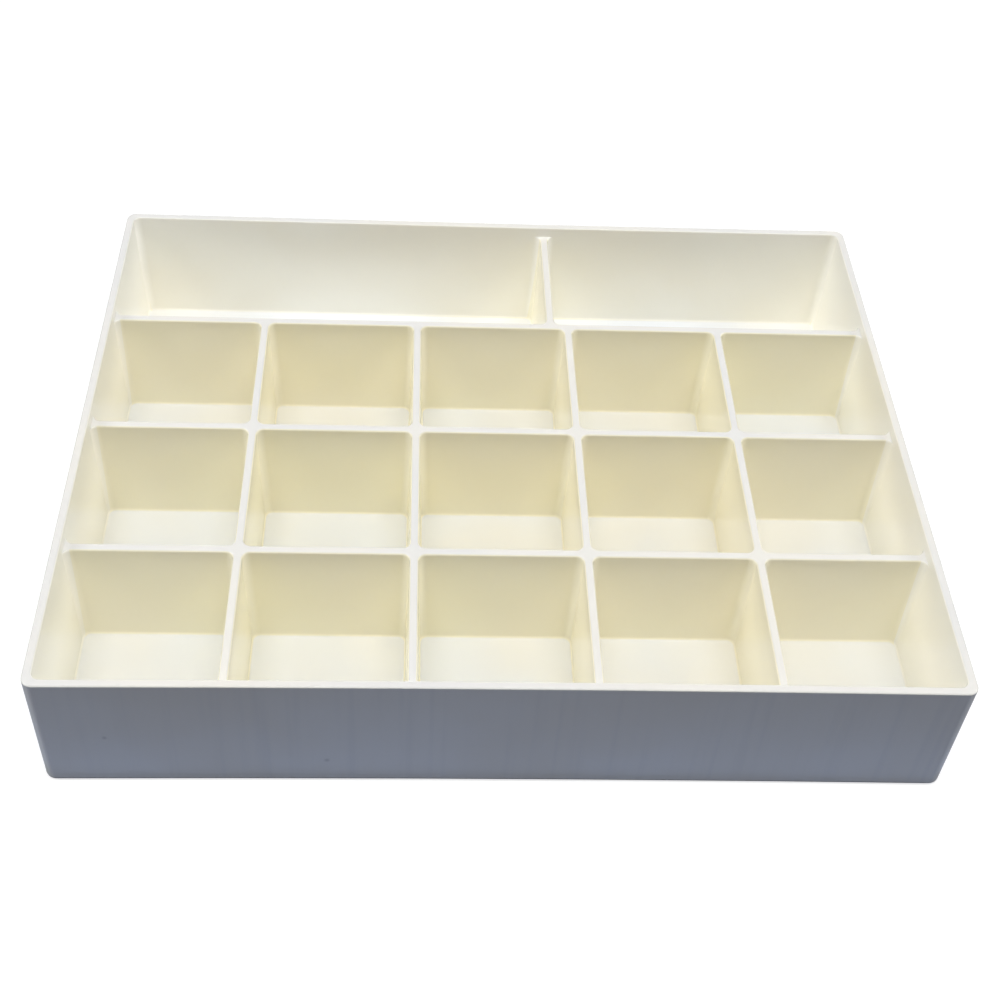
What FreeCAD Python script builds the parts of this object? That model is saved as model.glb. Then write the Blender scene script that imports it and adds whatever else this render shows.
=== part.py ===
import FreeCAD, Part
import os
import Sketcher

# Essential oil organizer tray, injection moulded in one piece.
# Frame: millimetres, +X to the right along the long side, +Y to the rear row, +Z up.
# The origin is the middle of the underside, which is the face that the tray rests on.
# The square compartments stand in columns and rows from the front wall. Behind them one
# more row is parted by a single divider into two long compartments of unequal length.
# Every wall is drafted about the level of the rim, so that the tray leaves its mould: the
# outside narrows towards the underside and each compartment narrows towards its floor.

NODE = "organizer_tray"

# Independent sizes. Lengths are in millimetres and drafts in degrees.
SIZES = {
    "cell_opening": 38.0,         # square compartment, side of its mouth at the divider tops
    "rear_opening": 38.0,         # front to back size of the rear compartments' mouths
    "column_count": 5,            # square compartments from left to right
    "row_count": 3,               # rows of square compartments
    "divider_width": 1.6,         # width of a divider's flat top
    "rear_divider_offset": 15.3,  # middle of the rear divider, to the right of the tray's middle
    "rim_width": 1.9,             # width of the outer wall's flat top
    "divider_drop": 3.0,          # how far the divider tops lie below the rim
    "tray_height": 34.8,          # underside to rim
    "floor_thickness": 2.6,       # underside to compartment floor
    "outer_draft": 0.3,           # slope of the outside of the outer wall
    "inner_draft": 1.6,           # slope of every wall inside a compartment
    "outer_corner_radius": 2.5,   # upright corners of the outside
    "cell_corner_radius": 2.0,    # upright corners inside a compartment
    "floor_bevel": 0.6,           # slope between a compartment's floor and its walls
    "base_fillet": 1.2,           # round along the underside's outer edge
    "rim_round": 0.4,             # round on both edges of the rim
}

# Sizes that follow from the ones above. Each compartment is cut from the level of the rim,
# so its mouth is given there: wider than at the divider tops by the draft over the drop.
DERIVED = {
    "drop_widening": "divider_drop * tan(inner_draft * 1 deg)",
    "cell_pitch": "cell_opening + divider_width",
    "cell_mouth": "cell_opening + 2 * drop_widening",
    "rear_mouth": "rear_opening + 2 * drop_widening",
    "divider_waist": "divider_width - 2 * drop_widening",
    "inner_length": "column_count * (cell_mouth + divider_waist) - divider_waist",
    "inner_width": "row_count * (cell_mouth + divider_waist) + rear_mouth",
    "tray_length": "inner_length + 2 * rim_width",
    "tray_width": "inner_width + 2 * rim_width",
    "cell_depth": "tray_height - floor_thickness",
    "first_cell_x": "(cell_mouth - inner_length) / 2",
    "first_cell_y": "(cell_mouth - inner_width) / 2",
    "column_span": "(column_count - 1) * cell_pitch",
    "row_span": "(row_count - 1) * cell_pitch",
    "rear_row_y": "(inner_width - rear_mouth) / 2",
    "rear_left_length": "(inner_length - divider_waist) / 2 + rear_divider_offset",
    "rear_right_length": "(inner_length - divider_waist) / 2 - rear_divider_offset",
    "rear_left_x": "(rear_left_length - inner_length) / 2",
    "rear_right_x": "(inner_length - rear_right_length) / 2",
}

UNDERSIDE = 0.0
LEVEL_TOLERANCE = 0.001       # what is this close to a level lies at that level
CUBIC_MM_PER_CM = 1000

# The sides of an outline, in the order in which they are drawn.
SIDE_COUNT = 4
FRONT, RIGHT, REAR, LEFT = range(SIDE_COUNT)
START, END = 1, 2             # the two ends of a side
ORIGIN = (-1, 1)              # the sketch's own origin, as an element and its point


def make_sheet(doc):
    """Write the independent and the derived sizes into a sheet, one alias each."""
    sheet = doc.addObject("Spreadsheet::Sheet", "sizes")
    cells = [(name, str(value)) for name, value in SIZES.items()]
    cells += [(name, "=" + formula) for name, formula in DERIVED.items()]
    for row, (name, content) in enumerate(cells, start=1):
        sheet.set(f"A{row}", name)
        sheet.set(f"B{row}", content)
        sheet.setAlias(f"B{row}", name)
    doc.recompute()
    return sheet


def origin_feature(body, role):
    """Find one of the body's own origin planes or axes by its role."""
    return next(item for item in body.Origin.OriginFeatures if item.Role == role)


def at_rim_level(body, kind, name):
    """Add a sketch or a plane that lies at the level of the rim."""
    item = body.newObject(kind, name)
    item.AttachmentSupport = [(origin_feature(body, "XY_Plane"), "")]
    item.MapMode = "FlatFace"
    item.setExpression("AttachmentOffset.Base.z", "sizes.tray_height")
    return item


def outline(body, sheet, name, length, width, centre_x=None, centre_y=None):
    """Sketch a rectangle at the level of the rim.

    The sizes and the place of its centre are names of cells in the sheet. Without a
    place the outline is centred on the tray.
    """
    sketch = at_rim_level(body, "Sketcher::SketchObject", name)
    if centre_x:
        sketch.setExpression("AttachmentOffset.Base.x", f"sizes.{centre_x}")
    if centre_y:
        sketch.setExpression("AttachmentOffset.Base.y", f"sizes.{centre_y}")

    half_x = sheet.get(length) / 2
    half_y = sheet.get(width) / 2
    corners = [(-half_x, -half_y), (half_x, -half_y), (half_x, half_y), (-half_x, half_y)]
    following = [RIGHT, REAR, LEFT, FRONT]
    for side in range(SIDE_COUNT):
        start = FreeCAD.Vector(*corners[side], 0)
        end = FreeCAD.Vector(*corners[following[side]], 0)
        sketch.addGeometry(Part.LineSegment(start, end))
    for side in range(SIDE_COUNT):
        direction = "Horizontal" if side in (FRONT, REAR) else "Vertical"
        sketch.addConstraint(Sketcher.Constraint(direction, side))
        joint = Sketcher.Constraint("Coincident", side, END, following[side], START)
        sketch.addConstraint(joint)
    centring = Sketcher.Constraint("Symmetric", FRONT, START, REAR, START, *ORIGIN)
    sketch.addConstraint(centring)

    across = Sketcher.Constraint("DistanceX", FRONT, START, FRONT, END, 2 * half_x)
    along = Sketcher.Constraint("DistanceY", RIGHT, START, RIGHT, END, 2 * half_y)
    for label, constraint, cell in (("Length", across, length), ("Width", along, width)):
        index = sketch.addConstraint(constraint)
        sketch.renameConstraint(index, label)
        sketch.setExpression(f"Constraints.{label}", f"sizes.{cell}")
    return sketch


def extrude(body, kind, name, sketch, depth):
    """Pad or pocket an outline straight down from the level of the rim."""
    feature = body.newObject(f"PartDesign::{kind}", name)
    feature.Profile = sketch
    feature.Reversed = kind == "Pad"
    feature.setExpression("Length", f"sizes.{depth}")
    return feature


def numbered(kind, items, wanted):
    """Name the faces or edges of a shape that pass a test."""
    return [f"{kind}{number}" for number, item in enumerate(items, start=1) if wanted(item)]


def draft(body, name, base, plane, angle, hollow, wanted):
    """Tilt the upright walls of the block, or of its hollows, to narrow downwards.

    A wall turns about its line in the plane, which keeps its place.
    """
    feature = body.newObject("PartDesign::Draft", name)
    feature.Base = (base, numbered("Face", base.Shape.Faces, wanted))
    feature.NeutralPlane = (plane, [""])
    feature.Reversed = not hollow
    feature.setExpression("Angle", f"sizes.{angle}")
    return feature


def dress(body, kind, name, base, setting, size, wanted):
    """Fillet or chamfer the edges of a feature that pass a test."""
    feature = body.newObject(f"PartDesign::{kind}", name)
    feature.Base = (base, numbered("Edge", base.Shape.Edges, wanted))
    feature.setExpression(setting, f"sizes.{size}")
    return feature


def stands_on(level):
    """Make a test for a wall or an edge that rises from a level."""
    def test(item):
        box = item.BoundBox
        return abs(box.ZMin - level) < LEVEL_TOLERANCE < box.ZLength
    return test


def lies_at(level):
    """Make a test for an edge that lies wholly at a level."""
    def test(item):
        box = item.BoundBox
        return abs(box.ZMin - level) < LEVEL_TOLERANCE and box.ZLength < LEVEL_TOLERANCE
    return test


def advance(doc, body, feature, before=None):
    """Recompute and check one step: it stands, and it took material from the last one."""
    body.Tip = feature
    doc.recompute()
    for item in doc.Objects:
        if "Invalid" in item.State or "Error" in item.State:
            raise RuntimeError(f"{item.Name} failed")
    if feature.Shape.isNull() or not feature.Shape.isValid():
        raise RuntimeError(f"{feature.Name} has no valid shape")
    if before and feature.Shape.Volume >= before.Shape.Volume:
        raise RuntimeError(f"{feature.Name} removed nothing")
    return feature


def make_block(doc, body, sheet, plane):
    """Pad the outer block and draft its four walls."""
    rim = outline(body, sheet, "rim_outline", "tray_length", "tray_width")
    block = advance(doc, body, extrude(body, "Pad", "outer_block", rim, "tray_height"))
    walls = draft(body, "outer_walls", block, plane, "outer_draft", False, stands_on(UNDERSIDE))
    return advance(doc, body, walls)


def cut_hollows(doc, body, sheet, plane, block):
    """Cut the hollows straight down, then draft all their walls at once."""
    # The divider tops lie below the rim. This cut shares its sides with the compartments
    # beside the outer wall, which so stays whole above the dividers.
    top = outline(body, sheet, "divider_top_outline", "inner_length", "inner_width")
    lowered = extrude(body, "Pocket", "lowered_dividers", top, "divider_drop")
    advance(doc, body, lowered, block)

    mouth = outline(
        body, sheet, "cell_outline", "cell_mouth", "cell_mouth",
        "first_cell_x", "first_cell_y",
    )
    cell = extrude(body, "Pocket", "front_left_cell", mouth, "cell_depth")
    advance(doc, body, cell, lowered)

    cells = body.newObject("PartDesign::LinearPattern", "square_cells")
    cells.Originals = [cell]
    cells.Direction = (origin_feature(body, "X_Axis"), [""])
    cells.Direction2 = (origin_feature(body, "Y_Axis"), [""])
    cells.setExpression("Length", "sizes.column_span")
    cells.setExpression("Length2", "sizes.row_span")
    cells.setExpression("Occurrences", "sizes.column_count")
    cells.setExpression("Occurrences2", "sizes.row_count")
    advance(doc, body, cells, cell)

    last = cells
    for side in ("left", "right"):
        mouth = outline(
            body, sheet, f"rear_{side}_outline", f"rear_{side}_length", "rear_mouth",
            f"rear_{side}_x", "rear_row_y",
        )
        pocket = extrude(body, "Pocket", f"rear_{side}_cell", mouth, "cell_depth")
        last = advance(doc, body, pocket, last)

    floor = sheet.get("floor_thickness")
    walls = draft(body, "inner_walls", last, plane, "inner_draft", True, stands_on(floor))
    return advance(doc, body, walls)


def finish_edges(doc, body, sheet, walls):
    """Round the upright corners, bevel the floors' edges and round the rim and the base."""
    floor = sheet.get("floor_thickness")
    rim = sheet.get("tray_height")
    steps = [
        ("Fillet", "cell_corners", "Radius", "cell_corner_radius", stands_on(floor)),
        ("Fillet", "outer_corners", "Radius", "outer_corner_radius", stands_on(UNDERSIDE)),
        ("Chamfer", "floor_bevels", "Size", "floor_bevel", lies_at(floor)),
        ("Fillet", "rim_rounds", "Radius", "rim_round", lies_at(rim)),
        ("Fillet", "base_round", "Radius", "base_fillet", lies_at(UNDERSIDE)),
    ]
    last = walls
    for kind, name, setting, size, wanted in steps:
        last = advance(doc, body, dress(body, kind, name, last, setting, size, wanted))
    return last


def build_tray(doc, sheet):
    """Model the tray: a drafted block, then its drafted hollows, then its edges."""
    body = doc.addObject("PartDesign::Body", NODE)
    body.Label = NODE
    body.Placement = FreeCAD.Placement()
    doc.recompute()

    plane = at_rim_level(body, "PartDesign::Plane", "rim_level")
    doc.recompute()
    block = make_block(doc, body, sheet, plane)
    walls = cut_hollows(doc, body, sheet, plane, block)
    finish_edges(doc, body, sheet, walls)
    return body


def main():
    doc = FreeCAD.newDocument("organizer")
    sheet = make_sheet(doc)
    tray = build_tray(doc, sheet)
    shape = tray.Shape
    if len(shape.Solids) != 1:
        raise RuntimeError("the tray is not one solid")
    os.makedirs("parts", exist_ok=True)
    shape.exportStep(f"parts/{tray.Label}.step")
    box = shape.optimalBoundingBox()
    print(f"{NODE}: {box.XLength:.2f} x {box.YLength:.2f} x {box.ZLength:.2f} mm")
    print(f"volume {shape.Volume / CUBIC_MM_PER_CM:.1f} cm3")


main()
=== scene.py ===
"""Dress the essential oil organizer tray: its finished form, its plastic, the light and the camera.

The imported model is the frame. Every size here is in millimetres, and a mesh is turned to metres
when it is made. +X is to the right along the long side, +Y to the rear row, +Z up.
"""

import logging
import math
from dataclasses import dataclass, field
from enum import Enum
from typing import Any

import bmesh
import bpy
import numpy as np
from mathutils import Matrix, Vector
from mathutils.geometry import delaunay_2d_cdt


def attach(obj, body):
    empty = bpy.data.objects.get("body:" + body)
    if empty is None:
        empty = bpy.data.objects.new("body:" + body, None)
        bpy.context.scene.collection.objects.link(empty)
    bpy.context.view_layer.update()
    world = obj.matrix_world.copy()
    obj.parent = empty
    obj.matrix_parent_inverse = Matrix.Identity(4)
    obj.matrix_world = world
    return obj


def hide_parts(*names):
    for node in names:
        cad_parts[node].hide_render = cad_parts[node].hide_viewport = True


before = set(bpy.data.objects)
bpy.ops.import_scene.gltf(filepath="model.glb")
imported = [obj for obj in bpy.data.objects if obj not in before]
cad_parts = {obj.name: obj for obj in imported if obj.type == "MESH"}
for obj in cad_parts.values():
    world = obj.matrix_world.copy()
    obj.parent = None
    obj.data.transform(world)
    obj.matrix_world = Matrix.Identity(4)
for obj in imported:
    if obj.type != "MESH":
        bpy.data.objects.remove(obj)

NODE = "organizer_tray"
BODY = "root"
MM = 0.001
QUARTER_TURN = math.pi / 2
TOUCH = 0.0001                # points this close are one point

log = logging.getLogger("tray")


def linear(code: str) -> tuple[float, float, float, float]:
    """Turn an sRGB colour into linear light.

    Args:
        code: The colour as six hexadecimal digits.

    Returns:
        Red, green and blue in linear light, and an alpha of one.
    """
    shares = [int(code[place:place + 2], 16) / 255 for place in (0, 2, 4)]
    light = [s / 12.92 if s <= 0.04045 else ((s + 0.055) / 1.055) ** 2.4 for s in shares]
    return (*light, 1.0)


def add_node(tree: bpy.types.NodeTree, kind: str, feeds: dict | None = None,
             **settings: Any) -> bpy.types.Node:
    """Add a node to a tree, with its settings and what feeds its inputs.

    Args:
        tree: The tree that gets the node.
        kind: The node's type.
        feeds: A value or an output socket for each input, by the input's name or number.
        settings: The node's own properties.

    Returns:
        The new node.
    """
    node = tree.nodes.new(kind)
    for name, value in settings.items():
        setattr(node, name, value)
    for key, feed in (feeds or {}).items():
        if isinstance(feed, bpy.types.NodeSocket):
            tree.links.new(feed, node.inputs[key])
        else:
            node.inputs[key].default_value = feed
    return node


def noise(tree: bpy.types.NodeTree, place: Any, size: float, detail: float) -> Any:
    """Add a noise whose swells are about so many millimetres wide, and give its output."""
    return add_node(tree, "ShaderNodeTexNoise", {
        "Vector": place, "Scale": 1 / (size * MM), "Detail": detail,
    }).outputs["Fac"]


def smooth_share(tree: bpy.types.NodeTree, value: Any, start: float, end: float,
                 most: float = 1.0) -> bpy.types.NodeSocket:
    """Turn a value into a share that rises smoothly from zero.

    Args:
        tree: The tree that gets the node.
        value: The socket of the value.
        start: The value where the share is zero.
        end: The value where it is full.
        most: The full share.

    Returns:
        The socket of the share.
    """
    return add_node(tree, "ShaderNodeMapRange", {
        "Value": value, "From Min": start, "From Max": end, "To Max": most,
    }, interpolation_type="SMOOTHERSTEP").outputs["Result"]


def blend(tree: bpy.types.NodeTree, share: Any, first: Any, second: Any) -> Any:
    """Blend two colours by the share of the second, and give the socket of the result."""
    return add_node(tree, "ShaderNodeMix", {
        "Factor": share, "A": first, "B": second,
    }, data_type="RGBA").outputs["Result"]


class Side(Enum):
    """The four sides of an outline, each with the direction that it faces."""

    FRONT = (0, -1)
    RIGHT = (1, 0)
    REAR = (0, 1)
    LEFT = (-1, 0)


@dataclass(frozen=True)
class Corner:
    """One upright corner, between the side before it and the side after it."""

    before: Side
    after: Side

    @property
    def start(self) -> float:
        """The direction of the side before it, as an angle."""
        return math.atan2(self.before.value[1], self.before.value[0])

    @property
    def place(self) -> np.ndarray:
        """Which quarter of the outline it is in, as two signs."""
        return np.array(self.before.value, float) + np.array(self.after.value, float)


CORNERS = (
    Corner(Side.LEFT, Side.FRONT),
    Corner(Side.FRONT, Side.RIGHT),
    Corner(Side.RIGHT, Side.REAR),
    Corner(Side.REAR, Side.LEFT),
)


@dataclass(frozen=True)
class Outline:
    """A rectangle with round corners, seen from above.

    Its stops are further points along its sides, and its soft sides are those whose upper
    edge is round because a divider is there, not the outer wall.
    """

    centre: tuple[float, float]
    half: tuple[float, float]
    radius: float
    corner_steps: int
    soft_sides: frozenset = frozenset()
    stops: dict = field(default_factory=dict)

    def walk(self, inset: float) -> tuple[np.ndarray, np.ndarray, np.ndarray]:
        """Go once round the outline, anticlockwise.

        Args:
            inset: How far every side stands in from its place, at the same corner radius.

        Returns:
            The points, the outward direction at each, and the share of the edge round there.
        """
        points, directions, shares = [], [], []
        reach = np.array(self.half) - inset - self.radius
        for corner in CORNERS:
            pivot = np.array(self.centre) + corner.place * reach
            first = float(corner.before in self.soft_sides)
            last = float(corner.after in self.soft_sides)
            for step in range(self.corner_steps + 1):
                turned = step / self.corner_steps
                angle = corner.start + turned * QUARTER_TURN
                direction = np.array((math.cos(angle), math.sin(angle)))
                points.append(pivot + self.radius * direction)
                directions.append(direction)
                shares.append(first + (last - first) * turned * turned * (3 - 2 * turned))
            facing = np.array(corner.after.value, float)
            line = np.array(self.centre) + facing * (np.array(self.half) - inset)
            for stop in self.stops.get(corner.after, ()):
                points.append(np.where(facing == 0, stop, line))
                directions.append(facing)
                shares.append(last)
        return np.array(points), np.array(directions), np.array(shares)


class Skin:
    """The surface of a mesh while it is made, ring by ring."""

    def __init__(self) -> None:
        """Start with no surface."""
        self.points: list = []
        self.faces: list = []

    def ring(self, outline: Outline, level: float, inset: float = 0.0,
             growth: float = 0.0, round_growth: float = 0.0) -> list[int]:
        """Add a closed row of points at one level.

        Args:
            outline: The outline that the row follows.
            level: The height of the row.
            inset: How far the sides stand in, at the same corner radius.
            growth: How far every point moves out.
            round_growth: How far the points move out where the edge is soft.

        Returns:
            The numbers of the points.
        """
        points, directions, shares = outline.walk(inset)
        moved = points + directions * (growth + round_growth * shares)[:, None]
        first = len(self.points)
        self.points += [(x, y, level) for x, y in moved]
        return list(range(first, len(self.points)))

    def bridge(self, lower: list[int], upper: list[int]) -> None:
        """Join two rows of as many points with a band of faces."""
        for here in range(len(lower)):
            there = (here + 1) % len(lower)
            self.faces.append((lower[here], lower[there], upper[there], upper[here]))

    def stack(self, rings: list[list[int]]) -> None:
        """Join each row of a list to the next one."""
        for lower, upper in zip(rings, rings[1:]):
            self.bridge(lower, upper)

    def cap(self, ring: list[int]) -> None:
        """Close a row with one flat face."""
        self.faces.append(tuple(ring))

    def fill_between(self, outer: list[int], hollows: list[list[int]]) -> None:
        """Fill the flat region inside one row of points and outside the others.

        Args:
            outer: The row round the region.
            hollows: The rows inside it, which may touch it.
        """
        loops = [outer, *hollows]
        numbers = [number for loop in loops for number in loop]
        flat = [Vector(self.points[number][:2]) for number in numbers]
        level = self.points[outer[0]][2]
        order = iter(range(len(numbers)))
        faces = [[next(order) for _ in loop] for loop in loops]
        found, _, triangles, _, _, sources = delaunay_2d_cdt(flat, [], faces, 1, TOUCH)
        first = len(self.points)
        self.points += [(point.x, point.y, level) for point in found]
        for triangle, source in zip(triangles, sources):
            if source == [0]:
                self.faces.append(tuple(first + corner for corner in triangle))

    def to_object(self, name: str) -> bpy.types.Object:
        """Make an object of the surface, in metres, and put it into the scene."""
        mesh = bpy.data.meshes.new(name)
        mesh.from_pydata([tuple(c * MM for c in point) for point in self.points], [], self.faces)
        made = bpy.data.objects.new(name, mesh)
        bpy.context.scene.collection.objects.link(made)
        return made


@dataclass(frozen=True)
class IvoryPolystyrene:
    """High-impact polystyrene, injection moulded in a polished steel mould.

    It gives the eye a dense warm white with a clear but not mirror-sharp gloss, painted light
    in its tone (floors lighter than the tops, the dividers' upright faces a warmer yellow for
    light bounced in the hollows, the outer wall whiter for the extra light on the rear wall),
    a very slight unevenness where the plastic shrank, faint upright lines outside, where the
    wall dragged along the mould as it came out, and two small specks.
    """

    half_length: float
    half_width: float
    # Painted light: the floors are painted lighter than the tops, blended by height.
    floor_light_colour: str = "E9ECF0"
    top_shade_colour: str = "E4E3DF"
    floor_reach: float = 10.0
    top_reach: float = 25.0
    # Painted light: the dividers' upright faces are painted a warmer yellow for light bounced in
    # the hollows, and the outer wall whiter for the extra light on the rear wall.
    divider_bounce_colour: str = "F8F3DA"
    outer_wall_light_colour: str = "FAF9F1"
    wall_depth: float = 3.3
    flow_colour: str = "F3EDDC"
    flow_share: float = 0.4
    flow_size: float = 45.0
    flow_band: tuple[float, float] = (0.3, 0.7)
    facing_band: tuple[float, float] = (0.6, 1.0)
    streak_colour: str = "C9CCD0"
    streak_share: float = 0.12
    streak_width: float = 2.4
    streak_length: float = 90.0
    streak_band: tuple[float, float] = (0.4, 0.8)
    skin_depth: float = 0.9
    speck_colour: str = "4A4844"
    speck_share: float = 0.2
    specks: tuple = (((-85.1, -80.1, 16.4), 0.9), ((-38.1, -79.8, 8.05), 1.0))
    ior: float = 1.59
    roughness: float = 0.2
    smudge_roughness: float = 0.26
    smudge_band: tuple[float, float] = (0.35, 0.75)
    shrink_size: float = 22.0
    shrink_height: float = 0.02
    grain_size: float = 0.9
    grain_height: float = 0.0012

    def make(self) -> bpy.types.Material:
        """Make the material."""
        material = bpy.data.materials.new("polystyrene_ivory_moulded")
        material.use_nodes = True
        tree = material.node_tree
        tree.nodes.clear()
        place = add_node(tree, "ShaderNodeTexCoord").outputs["Object"]
        flow = noise(tree, place, self.flow_size, 2.0)
        flowed = smooth_share(tree, flow, *self.flow_band, self.flow_share)
        colour = blend(tree, flowed, self.painted_light_tone(tree, place), linear(self.flow_colour))
        colour = self.streak(tree, place, colour)
        colour = self.speckle(tree, place, colour)
        gloss = add_node(tree, "ShaderNodeMapRange", {
            "Value": flow, "From Min": self.smudge_band[0], "From Max": self.smudge_band[1],
            "To Min": self.roughness, "To Max": self.smudge_roughness,
        }, interpolation_type="SMOOTHERSTEP")
        shader = add_node(tree, "ShaderNodeBsdfPrincipled", {
            "Base Color": colour, "Roughness": gloss.outputs["Result"], "IOR": self.ior,
            "Normal": self.unevenness(tree, place),
        })
        add_node(tree, "ShaderNodeOutputMaterial", {"Surface": shader.outputs["BSDF"]})
        return material

    def painted_light_tone(self, tree: bpy.types.NodeTree, place: Any) -> bpy.types.NodeSocket:
        """Paint light and shade into the tone, a tone each for the floors, the tops, the outer wall
        and the thinner dividers: floors lighter than tops, the dividers' upright faces warmer for
        light bounced in the hollows, the outer wall whiter.

        Args:
            tree: The material's tree.
            place: The socket of the point.

        Returns:
            The socket of the colour.
        """
        # painted bounce light on upright faces: warmer on the dividers, whiter on the outer wall
        upright = blend(tree, self.near_outside(tree, place, self.wall_depth),
                        linear(self.divider_bounce_colour), linear(self.outer_wall_light_colour))
        facing = add_node(tree, "ShaderNodeNewGeometry").outputs["Normal"]
        rise = add_node(tree, "ShaderNodeSeparateXYZ", {"Vector": facing}).outputs["Z"]
        level = add_node(tree, "ShaderNodeSeparateXYZ", {"Vector": place}).outputs["Z"]
        # painted light by height: floors lighter than the tops
        high = smooth_share(tree, level, self.floor_reach * MM, self.top_reach * MM)
        flat = blend(tree, high, linear(self.floor_light_colour), linear(self.top_shade_colour))
        return blend(tree, smooth_share(tree, rise, *self.facing_band), upright, flat)

    def near_outside(self, tree: bpy.types.NodeTree, place: Any,
                     depth: float) -> bpy.types.NodeSocket:
        """Find what lies near the outside of the outer wall.

        Args:
            tree: The material's tree.
            place: The socket of the point.
            depth: How far in from the outside it reaches.

        Returns:
            A socket that is one there and zero elsewhere.
        """
        part = add_node(tree, "ShaderNodeSeparateXYZ", {"Vector": place}).outputs
        tests = []
        for axis, half in (("X", self.half_length), ("Y", self.half_width)):
            size = add_node(tree, "ShaderNodeMath", {0: part[axis]}, operation="ABSOLUTE")
            tests.append(add_node(tree, "ShaderNodeMath", {
                0: size.outputs["Value"], 1: (half - depth) * MM,
            }, operation="GREATER_THAN").outputs["Value"])
        return add_node(tree, "ShaderNodeMath", {0: tests[0], 1: tests[1]},
                        operation="MAXIMUM").outputs["Value"]

    def streak(self, tree: bpy.types.NodeTree, place: Any, colour: Any) -> bpy.types.NodeSocket:
        """Add upright drag lines, only on the outside of the outer wall.

        Args:
            tree: The material's tree.
            place: The socket of the point.
            colour: The socket of the colour without them.

        Returns:
            The socket of the colour with them.
        """
        across = 1 / (self.streak_width * MM)
        stretched = add_node(tree, "ShaderNodeMapping", {
            "Vector": place, "Scale": (across, across, 1 / (self.streak_length * MM)),
        })
        lines = add_node(tree, "ShaderNodeTexNoise", {
            "Vector": stretched.outputs["Vector"], "Scale": 1.0, "Detail": 3.0,
        })
        strength = smooth_share(tree, lines.outputs["Fac"], *self.streak_band,
                                self.streak_share)
        masked = add_node(tree, "ShaderNodeMath", {
            0: strength, 1: self.near_outside(tree, place, self.skin_depth),
        }, operation="MULTIPLY")
        return blend(tree, masked.outputs["Value"], colour, linear(self.streak_colour))

    def speckle(self, tree: bpy.types.NodeTree, place: Any, colour: Any) -> bpy.types.NodeSocket:
        """Add the dark specks on the front of the outer wall.

        Args:
            tree: The material's tree.
            place: The socket of the point.
            colour: The socket of the colour without them.

        Returns:
            The socket of the colour with them.
        """
        for middle, radius in self.specks:
            spot = [part * MM for part in middle]
            far = add_node(tree, "ShaderNodeVectorMath", {0: place, 1: spot}, operation="DISTANCE")
            near = smooth_share(tree, far.outputs["Value"], radius * MM, 0.0, self.speck_share)
            colour = blend(tree, near, colour, linear(self.speck_colour))
        return colour

    def unevenness(self, tree: bpy.types.NodeTree, place: Any) -> bpy.types.NodeSocket:
        """Give the normal of the shrunken, very finely grained surface.

        Args:
            tree: The material's tree.
            place: The socket of the point.

        Returns:
            The socket of the normal.
        """
        dented = add_node(tree, "ShaderNodeBump", {
            "Height": noise(tree, place, self.shrink_size, 1.0), "Strength": 1.0,
            "Distance": self.shrink_height * MM,
        })
        return add_node(tree, "ShaderNodeBump", {
            "Height": noise(tree, place, self.grain_size, 2.0), "Strength": 1.0,
            "Distance": self.grain_height * MM, "Normal": dented.outputs["Normal"],
        }).outputs["Normal"]


@dataclass(frozen=True)
class StudioPaper:
    """Matt white paper, which the camera sees as a plain white ground with a soft shadow.

    What it throws back on to the tray is held down, most of all away from the tray and close
    against it, so that the upright walls keep their shade, are a little lighter towards the
    foot and turn dark where the base rounds under.
    """

    seen_colour: str = "A8A8A8"
    seen_glow: float = 0.72
    near_colour: str = "6F7D9C"
    far_colour: str = "303647"
    tray_half: tuple[float, float] = (100.0, 80.0)
    foot_zone: tuple[float, float] = (1.0, 4.0)
    fade_zone: tuple[float, float] = (50.0, 10.0)

    def make(self) -> bpy.types.Material:
        """Make the material."""
        material = bpy.data.materials.new("studio_paper_white")
        material.use_nodes = True
        tree = material.node_tree
        tree.nodes.clear()
        seen = add_node(tree, "ShaderNodeLightPath").outputs["Is Camera Ray"]
        lit = add_node(tree, "ShaderNodeBsdfDiffuse", {"Color": linear(self.seen_colour)})
        glow = add_node(tree, "ShaderNodeEmission", {"Strength": self.seen_glow})
        both = add_node(tree, "ShaderNodeAddShader", {
            0: lit.outputs["BSDF"], 1: glow.outputs["Emission"],
        })
        thrown = add_node(tree, "ShaderNodeBsdfDiffuse", {"Color": self.thrown(tree)})
        mixed = add_node(tree, "ShaderNodeMixShader", {
            "Fac": seen, 1: thrown.outputs["BSDF"], 2: both.outputs["Shader"],
        })
        add_node(tree, "ShaderNodeOutputMaterial", {"Surface": mixed.outputs["Shader"]})
        return material

    def thrown(self, tree: bpy.types.NodeTree) -> bpy.types.NodeSocket:
        """Give the colour that the paper throws back, lightest in a band round the tray."""
        place = add_node(tree, "ShaderNodeTexCoord").outputs["Object"]
        part = add_node(tree, "ShaderNodeSeparateXYZ", {"Vector": place}).outputs
        gaps = []
        for axis, half in zip(("X", "Y"), self.tray_half):
            size = add_node(tree, "ShaderNodeMath", {0: part[axis]}, operation="ABSOLUTE")
            gaps.append(add_node(tree, "ShaderNodeMath", {
                0: size.outputs["Value"], 1: half * MM,
            }, operation="SUBTRACT").outputs["Value"])
        gap = add_node(tree, "ShaderNodeMath", {0: gaps[0], 1: gaps[1]}, operation="MAXIMUM")
        shares = [
            smooth_share(tree, gap.outputs["Value"], start * MM, end * MM)
            for start, end in (self.foot_zone, self.fade_zone)
        ]
        near = add_node(tree, "ShaderNodeMath", {0: shares[0], 1: shares[1]},
                        operation="MULTIPLY")
        return blend(tree, near.outputs["Value"], linear(self.far_colour),
                     linear(self.near_colour))


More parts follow.
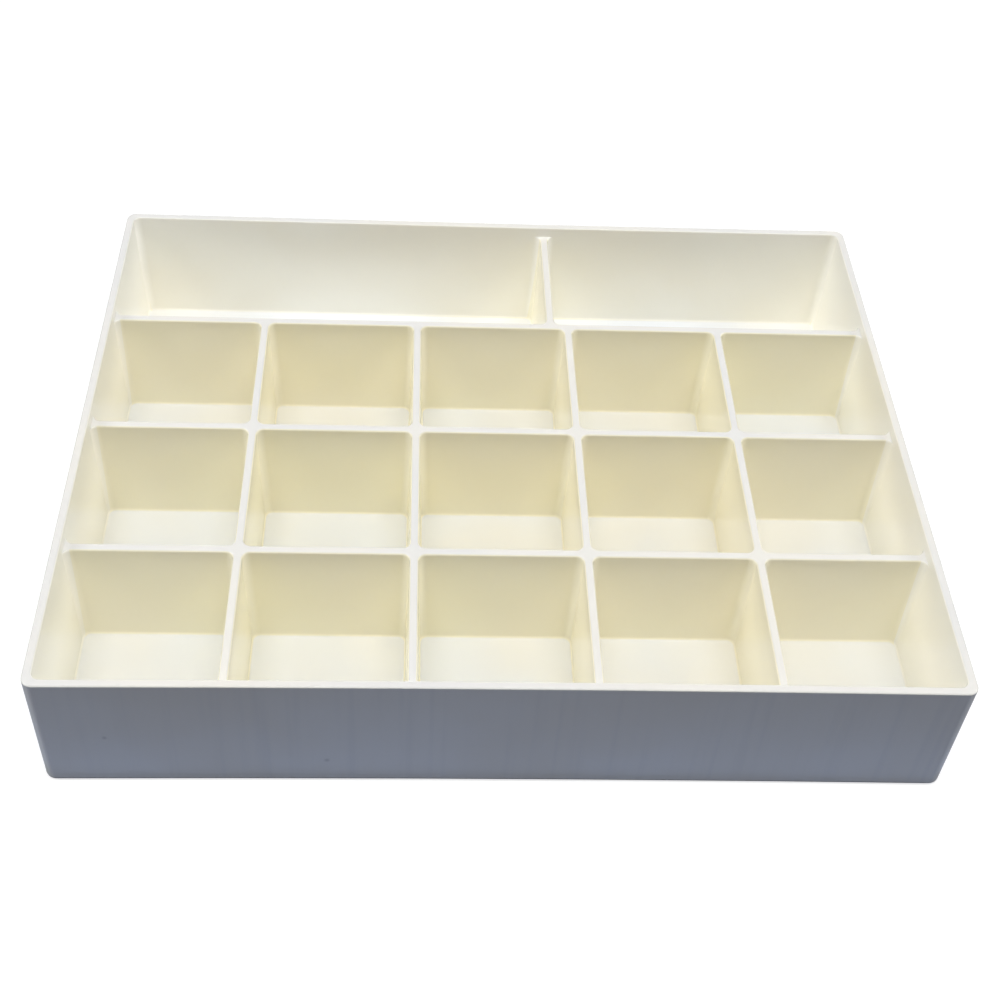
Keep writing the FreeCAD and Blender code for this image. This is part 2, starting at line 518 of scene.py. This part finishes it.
@dataclass(frozen=True)
class RepeatedCells:
    """A Geometry Nodes tree that sets one hollow into the tray many times over."""

    columns: int
    rows: int
    pitch: float
    middle: tuple[float, float]
    weld: float = 0.01

    def tree(self) -> tuple[bpy.types.NodeTree, dict[str, str]]:
        """Make the tree.

        Returns:
            The tree, and the identifier of each named input.
        """
        tree = bpy.data.node_groups.new("tray_cells", "GeometryNodeTree")
        kinds = {
            "Cell": "NodeSocketGeometry", "Shell": "NodeSocketObject",
            "Columns": "NodeSocketInt", "Rows": "NodeSocketInt", "Pitch": "NodeSocketFloat",
            "Middle": "NodeSocketVector", "Weld": "NodeSocketFloat",
            "Plastic": "NodeSocketMaterial",
        }
        sockets = {
            name: tree.interface.new_socket(name, in_out="INPUT", socket_type=kind).identifier
            for name, kind in kinds.items()
        }
        tree.interface.new_socket("Tray", in_out="OUTPUT", socket_type="NodeSocketGeometry")
        given = add_node(tree, "NodeGroupInput").outputs
        spans = []
        for count in ("Columns", "Rows"):
            gaps = add_node(tree, "ShaderNodeMath", {0: given[count], 1: 1.0},
                            operation="SUBTRACT")
            spans.append(add_node(tree, "ShaderNodeMath", {
                0: gaps.outputs["Value"], 1: given["Pitch"],
            }, operation="MULTIPLY").outputs["Value"])
        grid = add_node(tree, "GeometryNodeMeshGrid", {
            "Size X": spans[0], "Size Y": spans[1],
            "Vertices X": given["Columns"], "Vertices Y": given["Rows"],
        })
        placed = add_node(tree, "GeometryNodeTransform", {
            "Geometry": grid.outputs["Mesh"], "Translation": given["Middle"],
        })
        cells = add_node(tree, "GeometryNodeInstanceOnPoints", {
            "Points": placed.outputs["Geometry"], "Instance": given["Cell"],
        })
        shell = add_node(tree, "GeometryNodeObjectInfo", {"Object": given["Shell"]})
        joined = add_node(tree, "GeometryNodeJoinGeometry", {
            "Geometry": shell.outputs["Geometry"],
        })
        tree.links.new(cells.outputs["Instances"], joined.inputs["Geometry"])
        real = add_node(tree, "GeometryNodeRealizeInstances", {
            "Geometry": joined.outputs["Geometry"],
        })
        welded = add_node(tree, "GeometryNodeMergeByDistance", {
            "Geometry": real.outputs["Geometry"], "Distance": given["Weld"],
        })
        dressed = add_node(tree, "GeometryNodeSetMaterial", {
            "Geometry": welded.outputs["Geometry"], "Material": given["Plastic"],
        })
        add_node(tree, "NodeGroupOutput", {"Tray": dressed.outputs["Geometry"]})
        return tree, sockets

    def apply(self, cell: bpy.types.Object, shell: bpy.types.Object,
              plastic: bpy.types.Material) -> bpy.types.Mesh:
        """Run the tree on one cell and give the result as a plain mesh.

        Args:
            cell: The hollow that is repeated.
            shell: The rest of the tray.
            plastic: The material of the whole.

        Returns:
            The mesh of the whole tray.
        """
        tree, sockets = self.tree()
        modifier = cell.modifiers.new("cells", "NODES")
        modifier.node_group = tree
        values = {
            "Shell": shell, "Columns": self.columns, "Rows": self.rows,
            "Pitch": self.pitch * MM, "Weld": self.weld * MM, "Plastic": plastic,
            "Middle": (self.middle[0] * MM, self.middle[1] * MM, 0.0),
        }
        for name, value in values.items():
            modifier[sockets[name]] = value
        shown = cell.evaluated_get(bpy.context.evaluated_depsgraph_get())
        mesh = bpy.data.meshes.new_from_object(shown)
        cell.modifiers.clear()
        return mesh


@dataclass(frozen=True)
class Tray:
    """The tray, moulded in one piece: fifteen square hollows and two long ones behind them."""

    cell_opening: float = 38.0
    rear_opening: float = 38.0
    columns: int = 5
    rows: int = 3
    divider_width: float = 1.6
    rear_divider_offset: float = 15.3
    rim_width: float = 1.9
    divider_drop: float = 3.0
    height: float = 34.8
    floor_thickness: float = 2.6
    outer_draft: float = 0.3
    inner_draft: float = 1.6
    outer_corner_radius: float = 2.5
    cell_corner_radius: float = 2.0
    floor_round: float = 0.8
    base_round: float = 1.2
    rim_round: float = 0.4
    divider_round: float = 0.5
    lip_swell: float = 0.2
    lip_depth: float = 6.0
    lip_steps: int = 6
    corner_steps: int = 10
    round_steps: int = 5
    front_bow: float = 0.5
    rear_bow: float = 0.4
    bow_reach: float = 15.0
    crease_angle: float = 40.0
    flat_weight: int = 90

    @property
    def divider_level(self) -> float:
        """The height of the dividers' flat tops."""
        return self.height - self.divider_drop

    @property
    def pitch(self) -> float:
        """From the middle of one square hollow to the middle of the next."""
        return self.cell_opening + self.divider_width

    @property
    def inner_half(self) -> tuple[float, float]:
        """Half of the space inside the outer wall, at the level of the dividers' tops."""
        length = self.columns * self.pitch - self.divider_width
        width = self.rows * self.pitch + self.rear_opening
        return length / 2, width / 2

    @property
    def outer_half(self) -> tuple[float, float]:
        """Half of the outside, at the level of the rim."""
        margin = self.divider_drop * math.tan(math.radians(self.inner_draft)) + self.rim_width
        return self.inner_half[0] + margin, self.inner_half[1] + margin

    @property
    def grid_middle(self) -> tuple[float, float]:
        """The middle of the square hollows."""
        return 0.0, (self.rows * self.pitch - self.divider_width) / 2 - self.inner_half[1]

    def inner_inset(self, level: float) -> float:
        """How far the walls inside stand in at a level, next to the dividers' tops."""
        return (self.divider_level - level) * math.tan(math.radians(self.inner_draft))

    def outer_inset(self, level: float) -> float:
        """How far the outside stands in at a level, next to the rim."""
        return (self.height - level) * math.tan(math.radians(self.outer_draft))

    def hollow(self, centre: tuple[float, float], half: tuple[float, float],
               walls: set[Side]) -> Outline:
        """Give the outline of one hollow at the level of the dividers' tops.

        Args:
            centre: The hollow's middle.
            half: Half of its length and of its width.
            walls: The sides where the outer wall stands.

        Returns:
            The outline.
        """
        soft = frozenset(side for side in Side if side not in walls)
        return Outline(centre, half, self.cell_corner_radius, self.corner_steps, soft)

    def square_hollows(self) -> list[Outline]:
        """Give the outlines of the square hollows, from the front left one."""
        found = []
        half = (self.cell_opening / 2, self.cell_opening / 2)
        middle_x, middle_y = self.grid_middle
        for row in range(self.rows):
            for column in range(self.columns):
                walls = {
                    side for side, there in (
                        (Side.FRONT, row == 0),
                        (Side.LEFT, column == 0),
                        (Side.RIGHT, column == self.columns - 1),
                    ) if there
                }
                x = middle_x + (column - (self.columns - 1) / 2) * self.pitch
                y = middle_y + (row - (self.rows - 1) / 2) * self.pitch
                found.append(self.hollow((x, y), half, walls))
        return found

    def long_hollows(self) -> list[Outline]:
        """Give the outlines of the two long hollows of the rear row."""
        reach, depth = self.inner_half
        y = depth - self.rear_opening / 2
        found = []
        for side, sign in ((Side.LEFT, -1), (Side.RIGHT, 1)):
            near = self.rear_divider_offset + sign * self.divider_width / 2
            far = sign * reach
            half = (abs(far - near) / 2, self.rear_opening / 2)
            found.append(self.hollow(((near + far) / 2, y), half, {side, Side.REAR}))
        return found

    def wall_outline(self, half: tuple[float, float], radius: float) -> Outline:
        """Give an outline of the outer wall, with a stop at each end of each hollow.

        Args:
            half: Half of its length and of its width.
            radius: The radius of its corners.

        Returns:
            The outline.
        """
        reach, depth = self.inner_half
        stops: dict[Side, list[float]] = {side: [] for side in Side}
        for hollow in self.square_hollows() + self.long_hollows():
            for side in set(Side) - hollow.soft_sides:
                axis = 0 if side in (Side.FRONT, Side.REAR) else 1
                edge = (reach, depth)[axis]
                straight = hollow.half[axis] - hollow.radius
                for end in (hollow.centre[axis] - straight, hollow.centre[axis] + straight):
                    if abs(end) < edge - 2 * hollow.radius:
                        stops[side].append(end)
        for side in stops:
            stops[side].sort(reverse=side in (Side.REAR, Side.LEFT))
        return Outline((0.0, 0.0), half, radius, self.corner_steps, stops=stops)

    def arc(self, turn: float) -> list[float]:
        """Give the angles at which a round over a quarter turn, or less, has its rows."""
        return [turn + (QUARTER_TURN - turn) * step / self.round_steps
                for step in range(self.round_steps + 1)]

    def line_hollow(self, skin: Skin, outline: Outline) -> None:
        """Add the walls and the floor of a hollow, below the fuller lips of the dividers."""
        start = self.divider_level - self.lip_depth
        lean = math.radians(self.inner_draft)
        rings = [skin.ring(outline, start, self.inner_inset(start))]
        # The round touches the leaning wall a little above its own middle height.
        pivot = self.floor_thickness + self.floor_round
        touch = pivot - self.floor_round * math.sin(lean)
        for angle in self.arc(lean):
            level = pivot - self.floor_round * math.sin(angle)
            growth = self.floor_round * (math.cos(angle) - math.cos(lean))
            rings.append(skin.ring(outline, level, self.inner_inset(touch), growth))
        skin.stack(rings)
        skin.cap(rings[-1])

    def soften_mouth(self, skin: Skin, outline: Outline) -> list[int]:
        """Add the fuller, rounded lip of a hollow, which runs out at the outer wall.

        Args:
            skin: The surface that gets it.
            outline: The hollow's outline.

        Returns:
            The row of points at the level of the dividers' tops.
        """
        rings = []
        rise = self.lip_depth - self.divider_round
        for step in range(self.lip_steps):
            climbed = step / self.lip_steps
            level = self.divider_level - self.lip_depth + rise * climbed
            growth = -self.lip_swell * climbed * climbed
            rings.append(skin.ring(outline, level, self.inner_inset(level), 0.0, growth))
        for angle in self.arc(0.0):
            level = self.divider_level - self.divider_round * (1 - math.sin(angle))
            growth = self.divider_round * (1 - math.cos(angle)) - self.lip_swell
            rings.append(skin.ring(outline, level, self.inner_inset(level), 0.0, growth))
        skin.stack(rings)
        return rings[-1]

    def wrap_wall(self, skin: Skin) -> list[int]:
        """Add the underside, the outer wall and the rim.

        Args:
            skin: The surface that gets them.

        Returns:
            The row of points inside the wall, at the level of the dividers' tops.
        """
        outside = self.wall_outline(self.outer_half, self.outer_corner_radius)
        inside = self.wall_outline(self.inner_half, self.cell_corner_radius)
        rings = []
        for angle in reversed(self.arc(0.0)):
            level = self.base_round * (1 - math.sin(angle))
            growth = self.base_round * (math.cos(angle) - 1)
            rings.append(skin.ring(outside, level, self.outer_inset(self.base_round), growth))
        shoulder = self.outer_inset(self.height - self.rim_round)
        for angle in self.arc(0.0):
            level = self.height - self.rim_round * (1 - math.sin(angle))
            growth = self.rim_round * (math.cos(angle) - 1)
            rings.append(skin.ring(outside, level, shoulder, growth))
        for angle in reversed(self.arc(0.0)):
            level = self.height - self.rim_round * (1 - math.sin(angle))
            growth = self.rim_round * (1 - math.cos(angle))
            rings.append(skin.ring(inside, level, self.inner_inset(level), growth))
        rings.append(skin.ring(inside, self.divider_level))
        skin.stack(rings)
        skin.cap(rings[0])
        return rings[-1]

    def make_shell(self) -> bpy.types.Object:
        """Make all of the tray but the square hollows' walls and floors."""
        skin = Skin()
        hollows = self.square_hollows() + self.long_hollows()
        mouths = [self.soften_mouth(skin, outline) for outline in hollows]
        wall = self.wrap_wall(skin)
        for outline in self.long_hollows():
            self.line_hollow(skin, outline)
        skin.fill_between(wall, mouths)
        return skin.to_object("tray_shell")

    def make_cell(self) -> bpy.types.Object:
        """Make the walls and the floor of one square hollow, at the middle of the frame."""
        skin = Skin()
        half = (self.cell_opening / 2, self.cell_opening / 2)
        self.line_hollow(skin, self.hollow((0.0, 0.0), half, set()))
        return skin.to_object("tray_cell")

    def bow(self, mesh: bpy.types.Mesh) -> None:
        """Draw the long walls in at mid length, as the plastic did when it cooled."""
        flat = np.empty(len(mesh.vertices) * 3, np.float32)
        mesh.vertices.foreach_get("co", flat)
        points = flat.reshape(-1, 3).astype(float) / MM
        reach, depth = self.outer_half
        along = np.clip(1 - (points[:, 0] / reach) ** 2, 0, 1)
        for sign, amount in ((-1, self.front_bow), (1, self.rear_bow)):
            gap = depth - sign * points[:, 1]
            near = np.clip(1 - (gap - self.rim_width) / self.bow_reach, 0, 1)
            points[:, 1] -= sign * amount * along * near
        mesh.vertices.foreach_set("co", (points * MM).astype(np.float32).ravel())
        mesh.update()

    def shade(self, mesh: bpy.types.Mesh) -> None:
        """Point every face outwards, check that the surface is closed, and set its creases."""
        work = bmesh.new()
        work.from_mesh(mesh)
        bmesh.ops.recalc_face_normals(work, faces=work.faces)
        if not all(edge.is_manifold for edge in work.edges):
            raise RuntimeError("the tray's surface is not closed")
        for face in work.faces:
            face.smooth = True
        for edge in work.edges:
            edge.smooth = edge.calc_face_angle() < math.radians(self.crease_angle)
        work.to_mesh(mesh)
        work.free()

    def weigh_normals(self, tray: bpy.types.Object) -> None:
        """Let the flat faces lead the shading, so that only the rounds look round."""
        modifier = tray.modifiers.new("lead", "WEIGHTED_NORMAL")
        modifier.keep_sharp = True
        modifier.weight = self.flat_weight
        shown = tray.evaluated_get(bpy.context.evaluated_depsgraph_get())
        tray.data = bpy.data.meshes.new_from_object(shown)
        tray.modifiers.clear()
        tray.data.name = tray.name

    def build(self) -> bpy.types.Object:
        """Build the tray in its place in the frame, and dress it."""
        plastic = IvoryPolystyrene(*self.outer_half).make()
        cell = self.make_cell()
        shell = self.make_shell()
        repeat = RepeatedCells(self.columns, self.rows, self.pitch, self.grid_middle)
        mesh = repeat.apply(cell, shell, plastic)
        for used in (cell, shell):
            bpy.data.objects.remove(used)
        self.bow(mesh)
        self.shade(mesh)
        tray = bpy.data.objects.new("moulded_tray", mesh)
        bpy.context.scene.collection.objects.link(tray)
        self.weigh_normals(tray)
        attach(tray, BODY)
        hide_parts(NODE)
        return tray


@dataclass(frozen=True)
class Ground:
    """The plain floor that the tray stands on."""

    side: float = 6000.0
    level: float = -0.1

    def build(self) -> bpy.types.Object:
        """Build the floor."""
        half = self.side / 2
        skin = Skin()
        skin.points = [(-half, -half, self.level), (half, -half, self.level),
                       (half, half, self.level), (-half, half, self.level)]
        skin.cap([0, 1, 2, 3])
        ground = skin.to_object("ground")
        ground.data.materials.append(StudioPaper().make())
        return ground


@dataclass(frozen=True)
class Panel:
    """A soft panel lamp that faces the tray. The gloss shows it only where in_gloss is set."""

    name: str
    size: tuple[float, float]
    place: tuple[float, float, float]
    power: float
    colour: str
    in_gloss: bool = True

    def build(self) -> None:
        """Build the lamp."""
        lamp = bpy.data.lights.new(self.name, "AREA")
        lamp.shape = "RECTANGLE"
        lamp.size, lamp.size_y = self.size
        lamp.energy = self.power
        lamp.color = linear(self.colour)[:3]
        panel = bpy.data.objects.new(self.name, lamp)
        panel.location = self.place
        panel.rotation_euler = (-Vector(self.place)).to_track_quat("-Z", "Y").to_euler()
        panel.visible_camera = False
        panel.visible_glossy = self.in_gloss
        bpy.context.scene.collection.objects.link(panel)


@dataclass(frozen=True)
class Studio:
    """Soft light: panels overhead, at both sides and low behind, and a dim cool fill."""

    panels: tuple = (
        Panel("overhead_panel", (0.9, 0.35), (0.0, -0.24, 1.35), 11.3, "FFFFFF", False),
        Panel("left_panel", (0.6, 0.5), (-1.0, -0.1, 0.68), 6.4, "FFFFFF"),
        Panel("right_panel", (0.6, 0.5), (1.0, -0.1, 0.68), 6.0, "FFFFFF"),
        Panel("rear_panel", (0.8, 0.2), (0.0, 1.2, 0.2), 2.0, "FFFFFF"),
    )
    fill_colour: str = "BCC9FF"
    fill_strength: float = 0.06
    background_strength: float = 1.0
    bounces: int = 10

    def build(self) -> None:
        """Build the panels and the fill, and let the light settle in the pale hollows."""
        bpy.context.scene.cycles.diffuse_bounces = self.bounces
        for panel in self.panels:
            panel.build()
        self.fill()

    def fill(self) -> None:
        """Give the world its cool fill, and white where the camera or a gloss sees it."""
        world = bpy.data.worlds.new("studio_air")
        world.use_nodes = True
        tree = world.node_tree
        tree.nodes.clear()
        path = add_node(tree, "ShaderNodeLightPath").outputs
        seen = add_node(tree, "ShaderNodeMath", {
            0: path["Is Camera Ray"], 1: path["Is Glossy Ray"],
        }, operation="MAXIMUM")
        white = add_node(tree, "ShaderNodeBackground", {
            "Color": linear("FFFFFF"), "Strength": self.background_strength,
        })
        cool = add_node(tree, "ShaderNodeBackground", {
            "Color": linear(self.fill_colour), "Strength": self.fill_strength,
        })
        mixed = add_node(tree, "ShaderNodeMixShader", {
            "Fac": seen.outputs["Value"], 1: cool.outputs["Background"],
            2: white.outputs["Background"],
        })
        add_node(tree, "ShaderNodeOutputWorld", {"Surface": mixed.outputs["Shader"]})
        bpy.context.scene.world = world


@dataclass(frozen=True)
class Viewpoint:
    """The photograph's camera, solved from the tray's corners and the dividers' crossings."""

    place: tuple[float, float, float] = (-0.02097876, -0.27295255, 0.29851296)
    turn: tuple[float, float, float] = (44.989286, -2.903255, -1.507149)
    lens: float = 56.0716
    sensor: float = 36.0
    shift: tuple[float, float] = (0.0043424, -0.0512586)

    def build(self) -> bpy.types.Object:
        """Build the camera and make it the scene's own."""
        data = bpy.data.cameras.new("viewpoint")
        data.sensor_width = self.sensor
        data.lens = self.lens
        data.shift_x, data.shift_y = self.shift
        camera = bpy.data.objects.new("viewpoint", data)
        camera.location = self.place
        camera.rotation_euler = [math.radians(angle) for angle in self.turn]
        bpy.context.scene.collection.objects.link(camera)
        bpy.context.scene.camera = camera
        return camera


def main() -> None:
    """Build the scene, piece by piece."""
    logging.basicConfig(level=logging.INFO, format="%(name)s: %(message)s")
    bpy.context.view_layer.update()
    bpy.context.scene.view_settings.view_transform = "Standard"
    Viewpoint().build()
    log.info("camera placed")
    Studio().build()
    log.info("light set up")
    Ground().build()
    log.info("floor laid")
    tray = Tray().build()
    log.info("%s built, %d faces", tray.name, len(tray.data.polygons))


if __name__ == "__main__":
    main()
